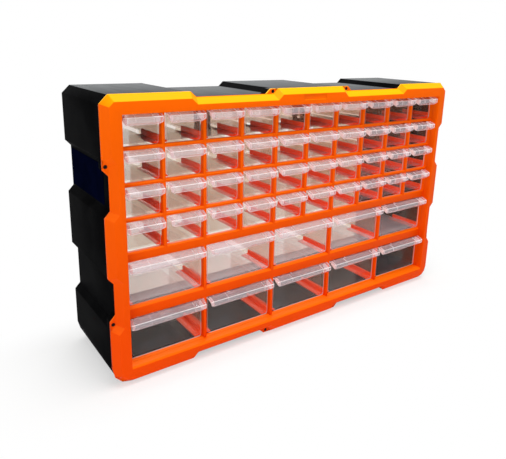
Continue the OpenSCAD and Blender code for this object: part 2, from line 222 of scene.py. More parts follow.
@dataclass(frozen=True)
class SparkTexturedPolystyrene:
    """Black plastic from a spark-eroded mould: a fine pebbled skin with faint random scuffs, and a painted grey
    sheen on its top.
    """

    name: str
    body: str
    sheen_and_scuff_grey: str
    ior: float = 1.55
    specular: float = 0.001
    roughness: float = 0.5
    roughness_drift: float = 0.06
    pebble_mm: float = 0.9
    pebble_height_mm: float = 0.05
    pebble_strength: float = 0.5
    cloud_mm: float = 45.0
    scuffed_where: Point = (0.45, 0.8)
    scuffed_most: float = 0.025
    # Where the painted top sheen lies: faces turned up this far, above this height, weaker towards the front, and
    # in streaks.
    level: Point = (0.88, 0.98)
    sheen_above_mm: float = 340.0
    sheen_ramp_mm: Point = (-62.0, 60.0)
    sheen_front_share: float = 0.55
    streak_mm: float = 8.0
    streak_squeeze: Triple = (1.0, 0.12, 1.0)
    streak_where: Point = (0.3, 0.7)
    streak_share: Point = (0.85, 1.1)

    def make(self) -> Material:
        """Builds the material.

        Returns:
            The textured plastic.
        """
        material, tree = new_material(self.name)
        place = add_node(tree, "ShaderNodeTexCoord").outputs["Object"]
        spot = add_node(tree, "ShaderNodeSeparateXYZ", {0: place})
        normal = add_node(tree, "ShaderNodeNewGeometry").outputs["Normal"]
        up = add_node(tree, "ShaderNodeSeparateXYZ", {0: normal}).outputs["Z"]
        # Real pebbles are about 0.2 mm; drawn at 0.9 mm so that they show as a grain.
        pebble = add_node(tree, "ShaderNodeTexVoronoi", {"Vector": place, "Scale": 1000 / self.pebble_mm})
        bump = add_node(
            tree, "ShaderNodeBump",
            {
                "Height": pebble.outputs["Distance"], "Strength": self.pebble_strength,
                "Distance": self.pebble_height_mm * MM,
            },
        )
        squeezed = add_node(
            tree, "ShaderNodeVectorMath", {0: place, 1: self.streak_squeeze}, operation="MULTIPLY"
        ).outputs[0]
        cloud, streak = (
            add_node(
                tree, "ShaderNodeTexNoise", {"Vector": vector, "Scale": 1000 / size, "Detail": detail}
            ).outputs["Fac"]
            for vector, size, detail in ((place, self.cloud_mm, 4.0), (squeezed, self.streak_mm, 3.0))
        )
        # Painted sheen: up-facing faces high on the housing are painted grey in place of the reflection of the
        # white surround.
        # The painted sheen is weaker towards the front and broken into streaks that run from front to back; faint
        # random scuffs grey the whole housing.
        low, high = self.roughness - self.roughness_drift, self.roughness + self.roughness_drift
        level, sheen_toward_back, sheen_streaks, scuffed, gloss = (
            add_node(
                tree, "ShaderNodeMapRange",
                {"Value": value, "From Min": a, "From Max": b, "To Min": c, "To Max": d},
            ).outputs[0]
            for value, (a, b), (c, d) in (
                (up, self.level, (0.0, 1.0)),
                (spot.outputs["Y"], (y * MM for y in self.sheen_ramp_mm), (self.sheen_front_share, 1.0)),
                (streak, self.streak_where, self.streak_share),
                (cloud, self.scuffed_where, (0.0, self.scuffed_most)),
                (cloud, (0.0, 1.0), (low, high)),
            )
        )
        painted_top_sheen = add_node(
            tree, "ShaderNodeMath", {0: spot.outputs["Z"], 1: self.sheen_above_mm * MM},
            operation="GREATER_THAN",
        ).outputs[0]
        for share in (level, sheen_toward_back, sheen_streaks):
            painted_top_sheen = add_node(tree, "ShaderNodeMath", {0: painted_top_sheen, 1: share}, operation="MULTIPLY").outputs[0]
        sheen_and_scuff_share = add_node(tree, "ShaderNodeMath", {0: scuffed, 1: painted_top_sheen}, operation="MAXIMUM", use_clamp=True)
        colour = add_node(
            tree, "ShaderNodeMix",
            {"Factor": sheen_and_scuff_share.outputs[0], MIX_A: linear(self.body), MIX_B: linear(self.sheen_and_scuff_grey)},
            data_type="RGBA",
        )
        shader = add_node(
            tree, "ShaderNodeBsdfPrincipled",
            {
                "Base Color": colour.outputs[MIX_RESULT], "Roughness": gloss, "Normal": bump.outputs[0],
                "IOR": self.ior, "Specular IOR Level": self.specular,
            },
        )
        add_node(tree, "ShaderNodeOutputMaterial", {"Surface": shader.outputs[0]})
        return material


@dataclass(frozen=True)
class ClearPolystyrene:
    """Crystal polystyrene in thin moulded walls: clear, with a faint milky veil that gathers at the edges."""

    name: str
    tint: str
    milk: str
    veil: float
    edge_veil: float
    shade: str = "#ffffff"
    roughness: float = 0.04
    mirror: float = 0.012
    edge_power: float = 6.0
    mirror_power: float = 5.0

    def make(self) -> Material:
        """Builds the material. Lamps shine through it, so what is inside is lit.

        Returns:
            The clear plastic.
        """
        material, tree = new_material(self.name)
        facing = add_node(tree, "ShaderNodeLayerWeight", {"Blend": 0.5}).outputs["Facing"]
        # A wall seen edge on is a long way through plastic, so it shows as a pale line.
        # Each face mirrors a few hundredths of what it faces at most, and all of it at a grazing view.
        veil, mirror = (
            add_node(
                tree, "ShaderNodeMapRange",
                {
                    "Value": add_node(tree, "ShaderNodeMath", {0: facing, 1: power}, operation="POWER").outputs[0],
                    "To Min": plain, "To Max": grazing,
                },
            ).outputs[0]
            for power, plain, grazing in (
                (self.edge_power, self.veil, self.edge_veil), (self.mirror_power, self.mirror, 1.0)
            )
        )
        through = add_node(tree, "ShaderNodeBsdfTransparent", {"Color": linear(self.tint)})
        milky = add_node(tree, "ShaderNodeBsdfDiffuse", {"Color": linear(self.milk)})
        gloss = add_node(tree, "ShaderNodeBsdfGlossy", {"Roughness": self.roughness})
        wall = add_node(tree, "ShaderNodeMixShader", {0: veil, 1: through.outputs[0], 2: milky.outputs[0]})
        polished = add_node(tree, "ShaderNodeMixShader", {0: mirror, 1: wall.outputs[0], 2: gloss.outputs[0]})
        path = add_node(tree, "ShaderNodeLightPath")
        unseen = add_node(
            tree, "ShaderNodeMath", {0: path.outputs["Is Shadow Ray"], 1: path.outputs["Is Diffuse Ray"]},
            operation="MAXIMUM",
        )
        lamp_light = add_node(tree, "ShaderNodeBsdfTransparent", {"Color": linear(self.shade)})
        mixed = add_node(
            tree, "ShaderNodeMixShader",
            {0: unseen.outputs[0], 1: polished.outputs[0], 2: lamp_light.outputs[0]},
        )
        add_node(tree, "ShaderNodeOutputMaterial", {"Surface": mixed.outputs[0]})
        return material


@dataclass(frozen=True)
class BlackenedSteel:
    """Oiled black-oxide steel: almost black, with a dull metal sheen."""

    name: str
    body: str
    roughness: float = 0.38
    smoother: float = 0.08
    rougher: float = 0.1
    grain_mm: float = 0.6
    grain_height_mm: float = 0.02
    grain_strength: float = 0.3

    def make(self) -> Material:
        """Builds the material.

        Returns:
            The blackened steel.
        """
        material, tree = new_material(self.name)
        place = add_node(tree, "ShaderNodeTexCoord").outputs["Object"]
        # The oxide's own grain is far finer than 0.6 mm; it is drawn that coarse so that it shows.
        grain = add_node(
            tree, "ShaderNodeTexNoise", {"Vector": place, "Scale": 1000 / self.grain_mm, "Detail": 2.0}
        ).outputs["Fac"]
        bump = add_node(
            tree, "ShaderNodeBump",
            {"Height": grain, "Strength": self.grain_strength, "Distance": self.grain_height_mm * MM},
        )
        low, high = self.roughness - self.smoother, self.roughness + self.rougher
        gloss = add_node(tree, "ShaderNodeMapRange", {"Value": grain, "To Min": low, "To Max": high})
        shader = add_node(
            tree, "ShaderNodeBsdfPrincipled",
            {
                "Base Color": linear(self.body), "Metallic": 1.0, "Roughness": gloss.outputs[0],
                "Normal": bump.outputs[0],
            },
        )
        add_node(tree, "ShaderNodeOutputMaterial", {"Surface": shader.outputs[0]})
        return material


@dataclass(frozen=True)
class LabelFilm:
    """Blank printed polypropylene film: deep navy with a faint ripple from the glue; its soft gloss is a painted
    sheen, a lighter navy on the ripple's crests.
    """

    name: str
    body: str
    sheen: str
    ior: float = 1.49
    specular: float = 0.0
    roughness: float = 0.34
    ripple_mm: float = 18.0
    ripple_height_mm: float = 0.15
    ripple_strength: float = 0.4

    def make(self) -> Material:
        """Builds the material.

        Returns:
            The label film.
        """
        material, tree = new_material(self.name)
        place = add_node(tree, "ShaderNodeTexCoord").outputs["Object"]
        ripple = add_node(
            tree, "ShaderNodeTexNoise", {"Vector": place, "Scale": 1000 / self.ripple_mm, "Detail": 1.0}
        ).outputs["Fac"]
        bump = add_node(
            tree, "ShaderNodeBump",
            {"Height": ripple, "Strength": self.ripple_strength, "Distance": self.ripple_height_mm * MM},
        )
        # Painted sheen: the ripple's crests are painted a lighter navy in place of a gloss.
        colour = add_node(
            tree, "ShaderNodeMix", {"Factor": ripple, MIX_A: linear(self.body), MIX_B: linear(self.sheen)},
            data_type="RGBA",
        )
        shader = add_node(
            tree, "ShaderNodeBsdfPrincipled",
            {
                "Base Color": colour.outputs[MIX_RESULT], "Roughness": self.roughness,
                "Normal": bump.outputs[0], "IOR": self.ior, "Specular IOR Level": self.specular,
            },
        )
        add_node(tree, "ShaderNodeOutputMaterial", {"Surface": shader.outputs[0]})
        return material


# ---------------------------------------------------------------- mesh tools


class View(Enum):
    """The plane that an outline is drawn in, and the axis it is pushed along."""

    FRONT = "x right, z up, pushed along y"
    SIDE = "y right, z up, pushed along x"

    def place(self, point: Point, along: float) -> Vector:
        """Puts a point drawn in millimetres into space, in metres."""
        u, v = point
        return Vector((u, along, v) if self is View.FRONT else (along, u, v)) * MM


def prism(outline: list[Point], view: View, low: float, high: float, edge: float = 0.0) -> Solid:
    """Pushes an outline into a closed solid.

    Args:
        outline: the corners, in millimetres.
        view: the plane of the outline.
        low: where the solid starts along the third axis, in millimetres.
        high: where it ends.
        edge: radius of its rounded edges, in millimetres.

    Returns:
        The solid.
    """
    bm = bmesh.new()
    ends = [[bm.verts.new(view.place(p, at)) for p in outline] for at in (low, high)]
    n = len(outline)
    for end in ends:
        bm.faces.new(end)
    for i in range(n):
        j = (i + 1) % n
        bm.faces.new((ends[0][i], ends[0][j], ends[1][j], ends[1][i]))
    bmesh.ops.recalc_face_normals(bm, faces=bm.faces)
    if edge:
        round_edges(bm, edge)
    return bm


def round_edges(bm: Solid, radius: float, sharper: float = 35.0) -> None:
    """Rounds the sharp edges of a solid.

    Args:
        bm: the solid.
        radius: the rounding, in millimetres.
        sharper: only edges that turn by more than this many degrees are rounded.
    """
    limit = math.radians(sharper)
    edges = [e for e in bm.edges if len(e.link_faces) == 2 and e.calc_face_angle() > limit]
    bmesh.ops.bevel(
        bm, geom=edges, offset=radius * MM, segments=EDGE_SEGMENTS, profile=0.5, affect="EDGES",
        clamp_overlap=True,
    )


def loft(rings: list[list[Vector]]) -> Solid:
    """Skins a row of rings with as many points each, and closes both ends.

    Args:
        rings: the rings, from one end to the other.

    Returns:
        The solid.
    """
    bm = bmesh.new()
    rows = [[bm.verts.new(p) for p in ring] for ring in rings]
    n = len(rows[0])
    for a, b in zip(rows, rows[1:]):
        for i in range(n):
            j = (i + 1) % n
            bm.faces.new((a[i], a[j], b[j], b[i]))
    bm.faces.new(rows[0])
    bm.faces.new(rows[-1])
    bmesh.ops.recalc_face_normals(bm, faces=bm.faces)
    return bm


def arc(centre: Point, radius: float, start: float, end: float, steps: int = ARC_STEPS) -> list[Point]:
    """Points along an arc.

    Args:
        centre: its centre.
        radius: its radius.
        start: first angle in degrees.
        end: last angle in degrees.
        steps: how many spans.

    Returns:
        steps + 1 points.
    """
    angles = [math.radians(start + (end - start) * k / steps) for k in range(steps + 1)]
    return [(centre[0] + radius * math.cos(a), centre[1] + radius * math.sin(a)) for a in angles]


def rounded(path: list[Point], radius: float, steps: int = ARC_STEPS) -> list[Point]:
    """Rounds the inner corners of an open path.

    Args:
        path: the corners.
        radius: how far before and after a corner its rounding reaches.
        steps: spans across each rounding.

    Returns:
        The path's points, with steps + 1 at each rounded corner.
    """
    points = [path[0]]
    for before, corner, after in zip(path, path[1:], path[2:]):
        at = Vector(corner)
        ways = [Vector(p) - at for p in (before, after)]
        ends = [at + way.normalized() * min(radius, way.length / 2) for way in ways]
        for k in range(steps + 1):
            t = k / steps
            points.append(tuple(ends[0] * (1 - t) ** 2 + at * 2 * t * (1 - t) + ends[1] * t * t))
    return points + [path[-1]]


def offset(path: list[Point], by: float) -> list[Point]:
    """Moves an open path sideways, with its corners kept sharp.

    Args:
        path: the corners.
        by: how far, to the right of the path's run.

    Returns:
        The moved corners.
    """
    runs = [(Vector(b) - Vector(a)).normalized() for a, b in zip(path, path[1:])]
    sides = [Vector((run.y, -run.x)) for run in runs]
    moved = [Vector(path[0]) + sides[0] * by]
    for corner, before, after in zip(path[1:], sides, sides[1:]):
        moved.append(Vector(corner) + (before + after) * (by / (1 + before.dot(after))))
    moved.append(Vector(path[-1]) + sides[-1] * by)
    return [(p.x, p.y) for p in moved]


def smooth(mesh: Mesh, angle: float = 32.0) -> None:
    """Shades a mesh smooth.

    Args:
        mesh: the mesh.
        angle: it keeps a crease where it turns by more than this many degrees.
    """
    mesh.polygons.foreach_set("use_smooth", [True] * len(mesh.polygons))
    mesh.set_sharp_from_angle(angle=math.radians(angle))
    mesh.update()


def piece(name: str, mesh: Mesh) -> bpy.types.Object:
    """Makes an object of a mesh and puts it in the scene.

    Args:
        name: the object's name.
        mesh: its mesh.

    Returns:
        The object.
    """
    obj = bpy.data.objects.new(name, mesh)
    bpy.context.scene.collection.objects.link(obj)
    return obj


def to_mesh(name: str, bm: Solid) -> Mesh:
    """Turns a solid into a mesh and frees it.

    Args:
        name: the mesh's name.
        bm: the solid.

    Returns:
        The mesh.
    """
    mesh = bpy.data.meshes.new(name)
    bm.to_mesh(mesh)
    bm.free()
    return mesh


def applied(obj: bpy.types.Object) -> Mesh:
    """Applies an object's modifiers and removes the object.

    Args:
        obj: the object.

    Returns:
        Its mesh with the modifiers applied.
    """
    bpy.context.view_layer.update()
    result = bpy.data.meshes.new_from_object(obj.evaluated_get(bpy.context.evaluated_depsgraph_get()))
    bpy.data.objects.remove(obj)
    return result


def combined(name: str, solids: list[Solid], cuts: list[Solid]) -> Mesh:
    """Joins solids into one skin and cuts others out of it.

    Args:
        name: the new mesh's name.
        solids: closed solids that overlap.
        cuts: closed solids to take away.

    Returns:
        One closed mesh.
    """
    base = piece(name, to_mesh(name, solids[0]))
    tools = []
    for operation, group in (("UNION", solids[1:]), ("DIFFERENCE", cuts)):
        for k, bm in enumerate(group):
            tool = piece(f"{name}_{operation}_{k}", to_mesh("tool", bm))
            cut = base.modifiers.new(f"{operation}_{k}", "BOOLEAN")
            cut.operation, cut.object, cut.solver, cut.use_self = operation, tool, "EXACT", True
            tools.append(tool)
    mesh = applied(base)
    for tool in tools:
        bpy.data.objects.remove(tool)
    mesh.name = name
    return mesh


def bevelled_copy(node: str, radius: float, sharper: float = 25.0) -> Mesh:
    """Copies a CAD node's mesh and rounds its sharp edges.

    Args:
        node: the CAD node.
        radius: the rounding, in millimetres.
        sharper: only edges that turn by more than this many degrees are rounded.

    Returns:
        The rounded mesh.
    """
    bm = bmesh.new()
    bm.from_mesh(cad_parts[node].data)
    bmesh.ops.remove_doubles(bm, verts=bm.verts, dist=WELD_MM * MM)
    source = piece(node + "_source", to_mesh(node + "_rounded", bm))
    bevel = source.modifiers.new("edges", "BEVEL")
    bevel.width, bevel.segments, bevel.limit_method = radius * MM, EDGE_SEGMENTS, "ANGLE"
    bevel.angle_limit, bevel.use_clamp_overlap = math.radians(sharper), False
    bevel.loop_slide = False
    mesh = applied(source)
    mesh.name = node + "_rounded"
    # Where edges meet at a slant the rounding can stand proud of the piece, so it is held to the piece's box.
    low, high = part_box(node)
    for vertex in mesh.vertices:
        vertex.co = [min(max(c, a), b) for c, a, b in zip(vertex.co, low, high)]
    return mesh


def dress(name: str, mesh: Mesh, material: Material, body: str, nodes: list[str], slot: str) -> None:
    """Puts a finished mesh on a body in place of CAD nodes.

    Args:
        name: the piece's name.
        mesh: its mesh, in metres.
        material: its finish.
        body: the CAD body it moves with.
        nodes: the CAD nodes that it stands for.
        slot: the record's material slot; not used.
    """
    mesh.materials.clear()
    mesh.materials.append(material)
    obj = piece(name, mesh)
    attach(obj, body)
    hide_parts(*nodes)
    log.info("%s: %d faces on %s", name, len(mesh.polygons), body)


# ---------------------------------------------------------------- the cabinet


@dataclass
class Mouldings:
    """The front frame, its runners and the rear housing, with the soft edges of moulded parts."""

    frame_edge: float = 0.7
    runner_edge: float = 0.35
    housing_edge: float = 0.9

    def build(self, orange: Material, rail: Material, black: Material) -> None:
        """Rounds and dresses each moulding.

        Args:
            orange: the front frame's plastic.
            rail: the runners' plastic.
            black: the housing's plastic.
        """
        for node, edge, material, slot in (
            ("front_frame", self.frame_edge, orange, "frame_plastic"),
            ("grid_bars", self.runner_edge, orange, "frame_plastic"),
            ("grid_dividers", self.runner_edge, orange, "frame_plastic"),
            ("small_runners", self.runner_edge, rail, "runner_plastic"),
            ("large_runners", self.runner_edge, rail, "runner_plastic"),
            ("rear_housing", self.housing_edge, black, "housing_plastic"),
            ("housing_back", self.runner_edge, black, "housing_plastic"),
        ):
            mesh = bevelled_copy(node, edge)
            smooth(mesh)
            dress(node + "_moulding", mesh, material, "cabinet", [node], slot)


class Bay(NamedTuple):
    """What sets a kind of drawer apart. Sizes in millimetres; left and right are the ends of the pull."""

    node: str
    rows: int
    columns: int
    opening_w: float
    opening_h: float
    tick_from_left: float
    notch_from_left: Point
    block_from_right: float


class DrawerKind(Enum):
    """The two kinds of drawer."""

    SMALL = Bay(
        "small_drawer", rows=4, columns=10, opening_w=55.6, opening_h=41.3,
        tick_from_left=17.0, notch_from_left=(33.4, 48.8), block_from_right=15.0,
    )
    LARGE = Bay(
        "large_drawer", rows=2, columns=5, opening_w=115.6, opening_h=64.0,
        tick_from_left=30.0, notch_from_left=(11.0, 37.0), block_from_right=20.0,
    )


class Zone(IntEnum):
    """The places on a drawer that take a finish of their own, in the order of its material slots."""

    FRONT = 0
    PULL = 1
    PULL_EDGE = 2
    BACK = 3
    RIM = 4
    SIDE = 5
    FLOOR = 6


@dataclass
class ClearDrawer:
    """A clear drawer with a sloping pull.

    Sizes in millimetres. x is 0 in the middle, y at the grid and z at the opening's foot.
    """

    kind: DrawerKind
    # The tub and its room in the opening.
    side_gap: float = 3.4
    lift: float = 3.2
    top_gap: float = 1.0
    recess: float = 2.5
    wall: float = 1.5
    depth: float = 130.0
    tub_drop: float = 5.0
    tub_start: float = 0.5
    front_r: float = 1.8
    back_r: float = 3.0
    least_r: float = 0.3
    floor_r: float = 2.4
    floor_inner_r: float = 1.8
    rim_r: float = 0.5
    rim_middle: Point = (0.2, 0.15)
    # The front wall.
    front_t: float = 1.8
    front_gap: float = 0.7
    lower_corner_r: float = 4.0
    soft_edge: float = 0.35
    notch_deep: float = 1.1
    notch_over: float = 2.0
    notch_y: Point = (-1.0, 4.0)
    # The pull.
    pull_gap: float = 0.4
    pull_root: float = 0.2
    shelf: float = 1.0
    reach: float = 11.7
    nose_drop: float = 4.4
    face_h: float = 6.2
    drop: float = 14.3
    curl: float = 3.2
    sheet_t: float = 1.6
    nose_r: float = 0.9
    nose_least_r: float = 0.25
    sink: float = 0.04
    draft: float = 1.5
    pull_corner_r: float = 6.0
    pull_corner_least: float = 0.4
    pull_sharper: float = 40.0
    # What stands on the pull and behind it.
    patch_root: float = 0.5
    patch_edge: float = 0.2
    block_proud: float = 0.9
    block_span: Point = (0.25, 0.8)
    block_in: float = 1.5
    line_w: float = 0.8
    line_proud: float = 0.45
    line_span: Point = (0.3, 0.8)
    line_in: float = 3.0
    gusset_t: float = 1.2
    gusset_in: float = 6.0
    gusset_rise: float = 6.0
    gusset_drop: float = 1.0
    gusset_sink: float = 0.8
    bury: float = 0.6
    # The divider's slot and the stop.
    slot_at: float = 67.0
    slot_w: float = 2.0
    rib_t: float = 1.2
    rib_proud: float = 1.4
    rib_foot: float = 0.7
    rib_head: float = 0.6
    rib_edge: float = 0.2
    stop_w: float = 14.0
    stop_rise: float = 1.2
    stop_r: float = 2.0
    stop_root: float = 2.0
    stop_inset: Point = (0.1, 0.05)
    stop_edge: float = 0.3
    # How a face is told from its neighbours: distances, then the share of its normal along an axis.
    near: float = 0.1
    rim_near: float = 0.05
    bend_deep: float = 0.6
    bend_half_h: float = 0.5
    edge_band: float = 0.6
    facing: float = 0.7
    end_facing: float = 0.6
    rim_across: float = 0.8
    rim_up: float = 0.3
    # What follows from these.
    width: float = field(init=False)
    half_pull: float = field(init=False)
    height: float = field(init=False)
    front_top: float = field(init=False)
    tub_top: float = field(init=False)

    def __post_init__(self) -> None:
        """Works out the sizes that follow from the opening."""
        bay = self.kind.value
        self.width = bay.opening_w - 2 * self.side_gap
        self.half_pull = bay.opening_w / 2 - self.pull_gap
        self.height = bay.opening_h
        self.front_top = self.height - self.top_gap
        self.tub_top = self.front_top - self.tub_drop

    def ring(self, inset: float, z: float) -> list[Vector]:
        """A rounded rectangle in plan.

        Args:
            inset: how far it lies inside the tub's outside.
            z: its height.

        Returns:
            The ring's points, in metres.
        """
        x = self.width / 2 - inset
        y0, y1 = self.recess + self.tub_start + inset, self.recess + self.depth - inset
        points: list[Point] = []
        for cx, cy, start, corner in (
            (x, y0, -90, self.front_r), (x, y1, 0, self.back_r),
            (-x, y1, 90, self.back_r), (-x, y0, 180, self.front_r),
        ):
            r = max(corner - inset, self.least_r)
            centre = (cx - math.copysign(r, cx), cy + r if cy == y0 else cy - r)
            points += arc(centre, r, start, start + 90)
        return [Vector((px, py, z)) * MM for px, py in points]

    def tub(self) -> Solid:
        """The open box, with rounded floor edges and a rounded rim.

        Returns:
            The solid.
        """
        low, top, r = self.lift, self.tub_top, self.floor_r
        outside = [(r - x, low + r + z) for x, z in arc((0, 0), r, -90, 0)]
        r = self.floor_inner_r
        inside = [(self.wall + r - x, low + self.wall + r + z) for x, z in arc((0, 0), r, 0, -90)]
        across, down = self.rim_middle
        rim = [(0.0, top - self.rim_r), (across, top - down), (self.rim_r, top)]
        rim += [(self.wall - inset, z) for inset, z in reversed(rim)]
        return loft([self.ring(inset, z) for inset, z in outside + rim + inside])

    def front(self) -> Solid:
        """The front wall, with rounded lower corners.

        Returns:
            The solid.
        """
        x, r = self.width / 2, self.lower_corner_r
        outline = arc((x - r, self.front_gap + r), r, -90, 0, CORNER_STEPS)
        outline += [(x, self.front_top), (-x, self.front_top)]
        outline += arc((r - x, self.front_gap + r), r, 180, 270, CORNER_STEPS)
        return prism(outline, View.FRONT, self.recess, self.recess + self.front_t, self.soft_edge)

    def pull_profile(self, proud: float = 0.0) -> list[Point]:
        """The pull's section, from the front's top edge over the nose to the lower edge.

        Args:
            proud: how far the line lies outside the pull's outer face; less than 0 is inside it.

        Returns:
            The points along the line.
        """
        nose_z = self.height - self.nose_drop
        top = self.front_top - self.sink
        corners_of_sheet = [
            (self.recess + self.pull_root, top),
            (-self.shelf, top),
            (-self.reach, nose_z),
            (-self.reach, nose_z - self.face_h),
            (self.curl - self.reach, self.height - self.drop),
        ]
        return rounded(offset(corners_of_sheet, proud), max(self.nose_r + proud / 2, self.nose_least_r))

    def half_at(self, y: float, z: float) -> float:
        """Half the pull's width at a place on its section: drafted to the nose, with rounded lower corners.

        Args:
            y: the place's distance from the grid, less than 0 in front of it.
            z: its height.

        Returns:
            Half the width.
        """
        ahead = min(max(-y / self.reach, 0.0), 1.0)
        half = self.half_pull - self.draft * ahead
        r, rise = self.pull_corner_r, z - (self.height - self.drop)
        if rise >= r:
            return half
        across = math.sqrt(max(r * r - (r - rise) ** 2, 0.0))
        return half - r + max(across, self.pull_corner_least)

    def pull(self) -> Solid:
        """The pull: a bent sheet with rounded lower corners.

        Returns:
            The solid.
        """
        bm = bmesh.new()
        rows = []
        for o, i in zip(self.pull_profile(), self.pull_profile(-self.sheet_t)):
            x = self.half_at(*o)
            rows.append([bm.verts.new(Vector((side * x, p[0], p[1])) * MM) for side in (-1, 1) for p in (o, i)])
        for a, b in zip(rows, rows[1:]):
            for s, t in ((0, 1), (1, 3), (3, 2), (2, 0)):
                bm.faces.new((a[s], a[t], b[t], b[s]))
        for end in (rows[0], rows[-1]):
            bm.faces.new((end[0], end[1], end[3], end[2]))
        bmesh.ops.recalc_face_normals(bm, faces=bm.faces)
        round_edges(bm, self.soft_edge, self.pull_sharper)
        return bm

    def gussets(self) -> list[Solid]:
        """The ribs that hold the pull to the front, near its ends.

        Returns:
            Two solids.
        """
        back = self.recess + self.bury
        outline = self.pull_profile(-self.gusset_sink)
        outline += [(back, self.height - self.drop + self.gusset_rise), (back, self.front_top - self.gusset_drop)]
        at, half_t = self.half_pull - self.gusset_in, self.gusset_t / 2
        return [prism(outline, View.SIDE, s * at - half_t, s * at + half_t) for s in (-1, 1)]

    def on_pull(self, x0: float, x1: float, span: Point, proud: float) -> Solid:
        """A raised patch on the pull's outer face.

        Args:
            x0: its left side.
            x1: its right side.
            span: where it starts and ends along the section, from 0 at the front to 1 at the lower edge.
            proud: how far it stands out.

        Returns:
            The solid.
        """
        outer, inner = self.pull_profile(proud), self.pull_profile(-self.patch_root)
        first, last = (round(share * (len(outer) - 1)) for share in span)
        steps = range(first, last + 1)
        outline = [outer[k] for k in steps] + [inner[k] for k in reversed(steps)]
        return prism(outline, View.SIDE, x0, x1, self.patch_edge)

    def label_place(self) -> list[Solid]:
        """The raised block at the pull's right end, and the two upright lines that a label sits between.

        Returns:
            The raised solids.
        """
        bay = self.kind.value
        left = self.line_in - self.half_pull + self.draft
        right = self.half_pull - bay.block_from_right
        end = self.half_pull - self.draft - self.block_in
        tick, half_w = bay.tick_from_left - self.half_pull, self.line_w / 2
        return [
            self.on_pull(right, end, self.block_span, self.block_proud),
            self.on_pull(tick - half_w, tick + half_w, self.line_span, self.line_proud),
            self.on_pull(left, left + self.line_w, self.line_span, self.line_proud),
        ]

    def slot_ribs(self) -> list[Solid]:
        """The ribs on the side walls that hold a divider plate.

        Returns:
            Four solids.
        """
        inner, half_slot = self.width / 2 - self.wall, self.slot_w / 2
        z0, z1 = self.lift + self.rib_foot, self.tub_top - self.rib_head
        solids = []
        for side in (-1, 1):
            x0, x1 = sorted((side * (inner - self.rib_proud), side * (inner + self.bury)))
            for at in (self.slot_at - half_slot - self.rib_t, self.slot_at + half_slot):
                y0 = self.recess + at
                y1 = y0 + self.rib_t
                outline = [(y0, z0), (y1, z0), (y1, z1), (y0, z1)]
                solids.append(prism(outline, View.SIDE, x0, x1, self.rib_edge))
        return solids

    def stop(self) -> Solid:
        """The tab that stands on the back wall and stops the drawer.

        Returns:
            The solid.
        """
        x, top, r = self.stop_w / 2, self.height + self.stop_rise, self.stop_r
        foot = self.tub_top - self.stop_root
        outline = [(-x, foot), (x, foot)] + arc((x - r, top - r), r, 0, 90)
        outline += arc((r - x, top - r), r, 90, 180)
        back = self.recess + self.depth
        inside, outside = self.stop_inset
        return prism(outline, View.FRONT, back - self.wall + inside, back - outside, self.stop_edge)

    def notch(self) -> Solid:
        """The shallow step in the front's top edge.

        Returns:
            The solid to cut away.
        """
        x0, x1 = (at - self.half_pull for at in self.kind.value.notch_from_left)
        z0, z1 = self.front_top - self.notch_deep, self.front_top + self.notch_over
        ahead, behind = self.notch_y
        return prism([(x0, z0), (x1, z0), (x1, z1), (x0, z1)], View.FRONT, ahead, self.recess + behind)

    def mesh(self) -> Mesh:
        """Joins the drawer's solids.

        Returns:
            The whole drawer as one skin.
        """
        solids = [self.tub(), self.front(), self.pull(), self.stop()]
        solids += self.gussets() + self.slot_ribs() + self.label_place()
        result = combined(self.kind.value.node + "_clear", solids, [self.notch()])
        smooth(result)
        return result

    def zone_of(self, face: bpy.types.MeshPolygon) -> Zone:
        """Which place on the drawer a face belongs to.

        Args:
            face: a face of the drawer.

        Returns:
            The place.
        """
        at, normal = face.center / MM, face.normal
        if at.y < self.recess - self.near:
            on_bend = (
                at.y < self.bend_deep - self.reach
                and abs(at.z - self.height + self.nose_drop) < self.bend_half_h
            )
            on_end = abs(normal.x) > self.end_facing or at.z < self.height - self.drop + self.edge_band
            return Zone.PULL_EDGE if on_bend or on_end else Zone.PULL
        behind_front = at.y > self.recess + self.front_t
        on_front_rim = (
            at.y < self.recess + self.front_t + self.rim_near and abs(normal.y) < self.rim_across
        )
        on_tub_rim = at.z > self.tub_top - self.edge_band and normal.z > self.rim_up
        if on_front_rim or on_tub_rim:
            return Zone.RIM
        if at.z < self.lift + self.wall + self.near and abs(normal.z) > self.facing:
            return Zone.FLOOR
        if at.y > self.recess + self.depth - self.wall - self.near and abs(normal.y) > self.facing:
            return Zone.BACK
        return Zone.SIDE if abs(normal.x) > self.facing and behind_front else Zone.FRONT

    def place(self, finishes: dict[Zone, Material], floors: list[Material]) -> None:
        """Puts one drawer in every opening of its kind.

        Args:
            finishes: the plastic of each place on the drawer but the floor.
            floors: the plastic of the floor in each row, from the top.
        """
        bay = self.kind.value
        mesh = self.mesh()
        mesh.materials.clear()
        for zone in Zone:
            mesh.materials.append(finishes.get(zone, floors[0]))
        for face in mesh.polygons:
            face.material_index = self.zone_of(face)
        for r in range(1, bay.rows + 1):
            if mesh.materials[Zone.FLOOR] != floors[r - 1]:
                mesh = mesh.copy()
                mesh.materials[Zone.FLOOR] = floors[r - 1]
            for c in range(1, bay.columns + 1):
                node = f"{bay.node}_r{r}_c{c}"
                low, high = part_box(node)
                obj = piece(node + "_clear", mesh)
                # The node's box starts at the pull's nose and at the tub's underside.
                obj.location = ((low.x + high.x) / 2, low.y + self.reach * MM, low.z - self.lift * MM)
                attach(obj, node.replace("drawer", "drawer_body"))
                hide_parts(node)
                log.info("%s: %d faces", obj.name, len(mesh.polygons))


